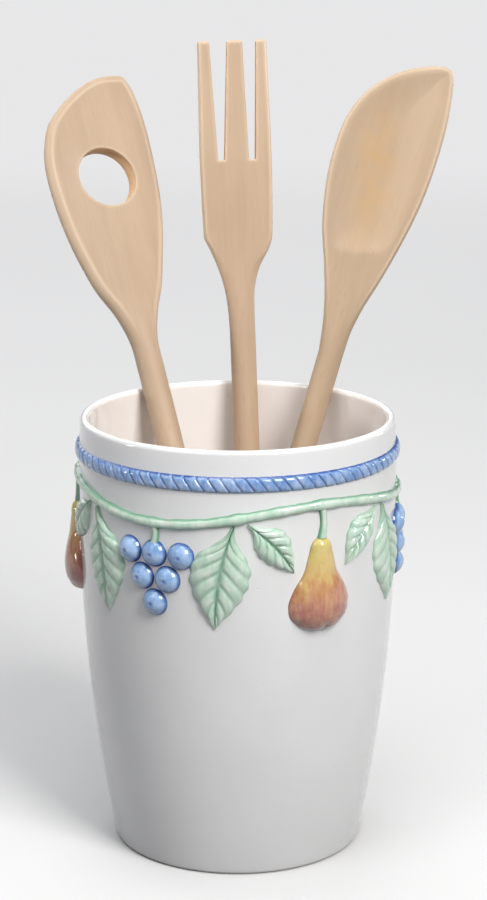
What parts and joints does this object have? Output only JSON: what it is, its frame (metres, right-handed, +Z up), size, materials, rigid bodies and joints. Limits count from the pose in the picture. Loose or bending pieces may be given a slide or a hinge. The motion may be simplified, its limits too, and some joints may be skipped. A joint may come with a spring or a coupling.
{
  "type": "utensil crock",
  "caption": "Tall white glazed crock with a blue rope moulding and a fruit relief band, holding a wooden spatula with a hole, a tined fork and a corner spoon.",
  "frame": {"origin": "centre of the foot ring, on the surface that the crock stands on", "axes": "+Z up along the crock's axis, -Y towards the front that the picture shows, +X to the right"},
  "size_m": [0.1717, 0.1789, 0.3213],
  "materials": {
    "white_glaze": "glossy white glaze over earthenware",
    "rope_blue": "blue underglaze wash, deeper in the grooves, under a clear glaze",
    "leaf_green": "mint green underglaze, darker in the creases, under a clear glaze",
    "pear_glaze": "yellow to dusky red brushed underglaze under a clear glaze",
    "berry_blue": "blue underglaze, darker round each berry, under a clear glaze",
    "spatula_wood": "plain sanded beech",
    "fork_wood": "plain sanded beech",
    "spoon_wood": "plain sanded beech, a little stained in the bowl"
  },
  "bodies": {
    "crock": {"bunch_1": "berry_blue", "bunch_2": "berry_blue", "bunch_3": "berry_blue", "bunch_stem_1": "leaf_green", "bunch_stem_2": "leaf_green", "bunch_stem_3": "leaf_green", "crock_body": "white_glaze", "leaf_1": "leaf_green", "leaf_10": "leaf_green", "leaf_11": "leaf_green", "leaf_12": "leaf_green", "leaf_2": "leaf_green", "leaf_3": "leaf_green", "leaf_4": "leaf_green", "leaf_5": "leaf_green", "leaf_6": "leaf_green", "leaf_7": "leaf_green", "leaf_8": "leaf_green", "leaf_9": "leaf_green", "pear_1": "pear_glaze", "pear_2": "pear_glaze", "pear_3": "pear_glaze", "pear_stem_1": "leaf_green", "pear_stem_2": "leaf_green", "pear_stem_3": "leaf_green", "rope_band": "rope_blue", "vine_1": "leaf_green", "vine_2": "leaf_green", "vine_3": "leaf_green"},
    "spatula": {"spatula": "spatula_wood"},
    "fork": {"fork": "fork_wood"},
    "spoon": {"spoon": "spoon_wood"}
  },
  "joints": [
    {"name": "spatula_lift", "type": "slide", "parent": "crock", "child": "spatula", "axis": [-0.2438, 0.4168, 0.8757], "range_m": [0, 0.2]},
    {"name": "fork_lift", "type": "slide", "parent": "crock", "child": "fork", "axis": [-0.0362, 0.1382, 0.9897], "range_m": [0, 0.2]},
    {"name": "spoon_lift", "type": "slide", "parent": "crock", "child": "spoon", "axis": [0.2781, 0.1548, 0.948], "range_m": [0, 0.2]}
  ]
}
